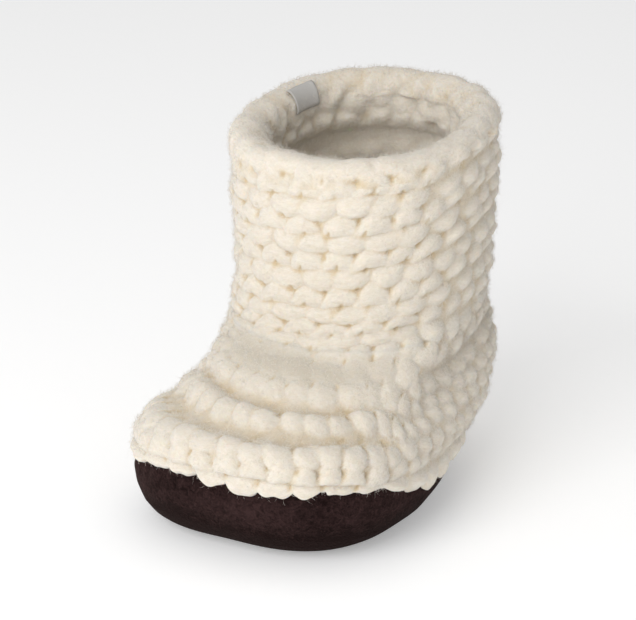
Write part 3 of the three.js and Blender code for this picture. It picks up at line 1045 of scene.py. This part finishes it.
# %% Shared node group: fibre
FIBRE_INPUTS = (
    ("NodeSocketVector", "Vector"), ("NodeSocketFloat", "Scale"), ("NodeSocketFloat", "Patch"),
    ("NodeSocketColor", "Light"), ("NodeSocketColor", "Deep"),
)
FIBRE_OUTPUTS = (("NodeSocketColor", "Color"), ("NodeSocketFloat", "Height"))

matted_fibre = bpy.data.node_groups.new("matted_fibre", "ShaderNodeTree")
for in_out, sockets in (("INPUT", FIBRE_INPUTS), ("OUTPUT", FIBRE_OUTPUTS)):
    for kind, label in sockets:
        matted_fibre.interface.new_socket(label, in_out=in_out, socket_type=kind)
given = matted_fibre.nodes.new("NodeGroupInput").outputs
result = matted_fibre.nodes.new("NodeGroupOutput").inputs
fine = noise(matted_fibre, given["Vector"], given["Scale"], 6, 0.62)
coarse = noise(matted_fibre, given["Vector"], given["Patch"], 2, 0.5)
fibre_height = weighted(matted_fibre, fine, 0.6, coarse, 0.4)
fibre_spread = map_range(matted_fibre, fibre_height, 0.3, 0.6)
fibre_colour = mix_colours(matted_fibre, fibre_spread, given["Deep"], given["Light"])
matted_fibre.links.new(fibre_colour, result["Color"])
matted_fibre.links.new(fibre_height, result["Height"])
print("node group:", matted_fibre.name, [s.name for s in matted_fibre.interface.items_tree])

# %% [markdown]
# ## Wool and fleece
# Yarn is brushed along its length, so its fibre is read in each bump's own UVs, stretched along the
# strand. Over that lies a fine pile that is matted every way, as on hairs and fleece. The values
# stored on the knit blend in painted shade: grey over the vamp and golden deep in the creases. A
# little subsurface light keeps it soft.

# %% Wool, hairs, fleece
# Grey painted shade for the vamp, which lies in shadow.
VAMP_SHADE_GREY = (0.56, 0.51, 0.425, 1)
PILE_SCALE, PILE_WEIGHT = 750, 0.75


def stored_value(tree, label, low, high):
    value = tree.nodes.new("ShaderNodeAttribute")
    value.attribute_name = label
    return map_range(tree, value.outputs["Fac"], low, high)


def wool_material(name, light, deep, scale, patch, strength, distance, soft, stretch=None, crease=None):
    material, tree, shader = new_material(name, 0.95, 0.2)
    set_inputs(shader, {
        "Subsurface Weight": soft, "Subsurface Radius": (1.0, 0.75, 0.5), "Subsurface Scale": 0.0025,
    })
    place = tree.nodes.new("ShaderNodeTexCoord").outputs
    group = tree.nodes.new("ShaderNodeGroup")
    group.node_tree = matted_fibre
    set_inputs(group, {"Scale": scale, "Patch": patch, "Light": (*light, 1), "Deep": (*deep, 1)})
    where, colour, height = place["Object"], group.outputs["Color"], group.outputs["Height"]
    if stretch:
        mapping = tree.nodes.new("ShaderNodeMapping")
        mapping.inputs["Scale"].default_value = stretch
        tree.links.new(place["UV"], mapping.inputs["Vector"])
        where = mapping.outputs["Vector"]
    tree.links.new(where, group.inputs["Vector"])
    if crease:
        # Painted shade: grey over the vamp.
        colour = mix_colours(tree, stored_value(tree, "vamp_shade", 0.0, 1.2), colour, VAMP_SHADE_GREY)
        # Painted shade: golden in the creases, pits and hollows, by the crease light.
        colour = mix_colours(tree, stored_value(tree, "crease_light", 0.05, 0.85), (*crease, 1), colour)
        fine_pile = noise(tree, place["Object"], PILE_SCALE, 3, 0.6)
        height = weighted(tree, height, 1.0, fine_pile, PILE_WEIGHT)
    tree.links.new(colour, shader.inputs["Base Color"])
    add_bump(tree, shader, height, strength, distance)
    return material


# crease is the golden colour of the painted shade in the creases and pits.
yarn_wool = wool_material(
    "yarn_wool", light=(0.795, 0.738, 0.65), deep=(0.685, 0.622, 0.52), scale=13, patch=4,
    strength=0.7, distance=0.0007, soft=0.45, stretch=(0.8, 1.8, 1), crease=(0.64, 0.515, 0.335),
)
hair_wool = wool_material(
    "hair_wool", light=(0.80, 0.75, 0.675), deep=(0.74, 0.685, 0.60), scale=300, patch=40,
    strength=0.1, distance=0.0001, soft=0.0,
)
fleece_pile = wool_material(
    "fleece_pile", light=(0.80, 0.75, 0.67), deep=(0.62, 0.55, 0.46), scale=520, patch=160,
    strength=0.8, distance=0.0015, soft=0.4,
)
print("wool materials:", yarn_wool.name, hair_wool.name, fleece_pile.name)

# %% [markdown]
# ## Suede
# Suede has a short nap: it is matt, a little lighter where the nap stands up and mottled where it
# has been stroked, and darker towards the floor. A picture of suede would repeat, so three sizes
# of noise stand for nap, tufts and strokes, and a ramp turns their sum into browns.

# %% Suede
# The suede's colour darkens over its lowest 15 mm, towards the floor.
LOW_DARK_HEIGHT, LOW_DARKENING = 0.015, -0.36

suede, tree, shader = new_material("suede_nap", 0.95, 0.06)
set_inputs(shader, {"Specular IOR Level": 0.04, "Sheen Tint": (0.5, 0.32, 0.28, 1)})
place = tree.nodes.new("ShaderNodeTexCoord").outputs["Object"]
nap = noise(tree, place, 1500, 3, 0.6)
tuft = noise(tree, place, 420, 3, 0.65, twist=1.2)
stroke = noise(tree, place, 60, 3, 0.6)
grain = weighted(tree, nap, 0.28, tuft, 0.42)
split = tree.nodes.new("ShaderNodeSeparateXYZ")
tree.links.new(place, split.inputs[0])
darker_low = map_range(tree, split.outputs["Z"], 0.0, LOW_DARK_HEIGHT, LOW_DARKENING, 0.0)
mottled = math_node(tree, "ADD", weighted(tree, grain, 1.0, stroke, 0.3), darker_low)
browns = colour_ramp(tree, mottled, (0.39, (0.007, 0.003, 0.003)), (0.62, (0.039, 0.0205, 0.0202)))
tree.links.new(browns, shader.inputs["Base Color"])
add_bump(tree, shader, grain, 0.9, 0.0018)
print("material:", suede.name)

# %% [markdown]
# ## Satin
# Satin is a fine weave with a soft gloss. Threads this fine would be far too many to model, so a
# wave texture gives the weave its two greys and a slight bump.

# %% Satin
satin, tree, shader = new_material("satin_weave", 0.42, 0.0)
weave = tree.nodes.new("ShaderNodeTexWave")
set_inputs(weave, {"Scale": 2200, "Distortion": 1.5})
tree.links.new(tree.nodes.new("ShaderNodeTexCoord").outputs["Object"], weave.inputs["Vector"])
greys = colour_ramp(tree, weave.outputs["Fac"], (0.0, (0.47, 0.455, 0.435)), (1.0, (0.56, 0.545, 0.52)))
tree.links.new(greys, shader.inputs["Base Color"])
add_bump(tree, shader, weave.outputs["Fac"], 0.15, 0.0001)
print("material:", satin.name)

# %% [markdown]
# ## Pieces and solids
# The dressed pieces stand for the solids, which stay in the physics model. The knit and its hairs
# together stand for the upper.

# %% Give each piece its material and hide its solid
for piece, material, node, slot in (
    (knit_shaft, yarn_wool, "upper", "knit"),
    (knit_foot, yarn_wool, "upper", "knit"),
    (fuzz_foot, hair_wool, "upper", "knit"),
    (fuzz_shaft, hair_wool, "upper", "knit"),
    (suede_sole, suede, "sole", "suede"),
    (fleece_insole, fleece_pile, "insole", "fleece"),
    (satin_label, satin, "label", "satin"),
):
    piece.data.materials.append(material)
    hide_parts(node)
    print(piece.name, "stands for", node)

# %% [markdown]
# ## Floor and light
# A studio floor is a pale sheet of paper, so large that its edge never shows. One large soft light
# stands in front, high and a little to the left, a weaker one hangs above, a faint fill comes from
# the right, and a bright room lights the rest, so that the wool has soft shade and no hard shadow.

# %% Studio
FLOOR_HALF = 4
LIGHTS = (  # name, place, aim, size in metres, watts
    ("key_light", (-0.08, -0.95, 0.55), (0, 0, 0.06), 0.9, 7.9),
    ("top_light", (0.0, -0.2, 1.1), (0, 0, 0.06), 0.8, 1.2),
    ("fill_light", (0.95, -0.5, 0.3), (0, 0, 0.05), 0.8, 0.6),
)
ROOM_LIGHT = 0.46

floor_mesh = bpy.data.meshes.new("studio_floor")
floor_corners = [(x * FLOOR_HALF, y * FLOOR_HALF, 0) for x, y in ((-1, -1), (1, -1), (1, 1), (-1, 1))]
floor_mesh.from_pydata(floor_corners, [], [(0, 1, 2, 3)])
floor = add_object("studio_floor", floor_mesh)
paper = bpy.data.materials.new("studio_paper")
paper.use_nodes = True
set_inputs(paper.node_tree.nodes["Principled BSDF"], {
    "Base Color": (0.9, 0.9, 0.9, 1), "Roughness": 0.9,
    "Emission Color": (1, 1, 1, 1), "Emission Strength": 0.28,
})
floor.data.materials.append(paper)

for name, place, aim, size, power in LIGHTS:
    light = bpy.data.lights.new(name, "AREA")
    light.size = size
    light.energy = power
    lamp = add_object(name, light)
    lamp.location = place
    lamp.rotation_euler = (Vector(aim) - Vector(place)).to_track_quat("-Z", "Y").to_euler()

world = bpy.data.worlds.new("bright_room")
world.use_nodes = True
set_inputs(world.node_tree.nodes["Background"], {"Color": (1, 1, 1, 1), "Strength": ROOM_LIGHT})
bpy.context.scene.world = world
bpy.context.scene.view_settings.view_transform = "Standard"
print("lights:", [light[0] for light in LIGHTS])

# %% [markdown]
# ## Camera
# The camera looks down on the boot from in front of its toe and a little to its outer side. It stands
# far off, so that upright lines stay nearly upright. Its lens is worked out from the focal length in
# pixels, because that is what can be measured in a picture.

# %% Camera
CAMERA_TURN, CAMERA_RISE, CAMERA_FAR = math.radians(29), math.radians(21), 0.9
CAMERA_AIM = Vector((-0.003, 0.0, 0.0585))
FOCAL_PIXELS, IMAGE_WIDTH, SENSOR = 2950, 636, 36

flat = math.cos(CAMERA_RISE)
back = Vector((math.sin(CAMERA_TURN) * flat, -math.cos(CAMERA_TURN) * flat, math.sin(CAMERA_RISE)))
lens = bpy.data.cameras.new("camera")
lens.sensor_fit = "HORIZONTAL"
lens.sensor_width = SENSOR
lens.lens = FOCAL_PIXELS * SENSOR / IMAGE_WIDTH
camera = add_object("camera", lens)
camera.location = CAMERA_AIM + back * CAMERA_FAR
camera.rotation_euler = back.to_track_quat("Z", "Y").to_euler()
bpy.context.scene.camera = camera
print("camera at", [round(c, 3) for c in camera.location], "lens", round(lens.lens, 1))

# %% [markdown]
# ## Finish
# Last, the scene is brought up to date.

# %% Finish
bpy.context.view_layer.update()
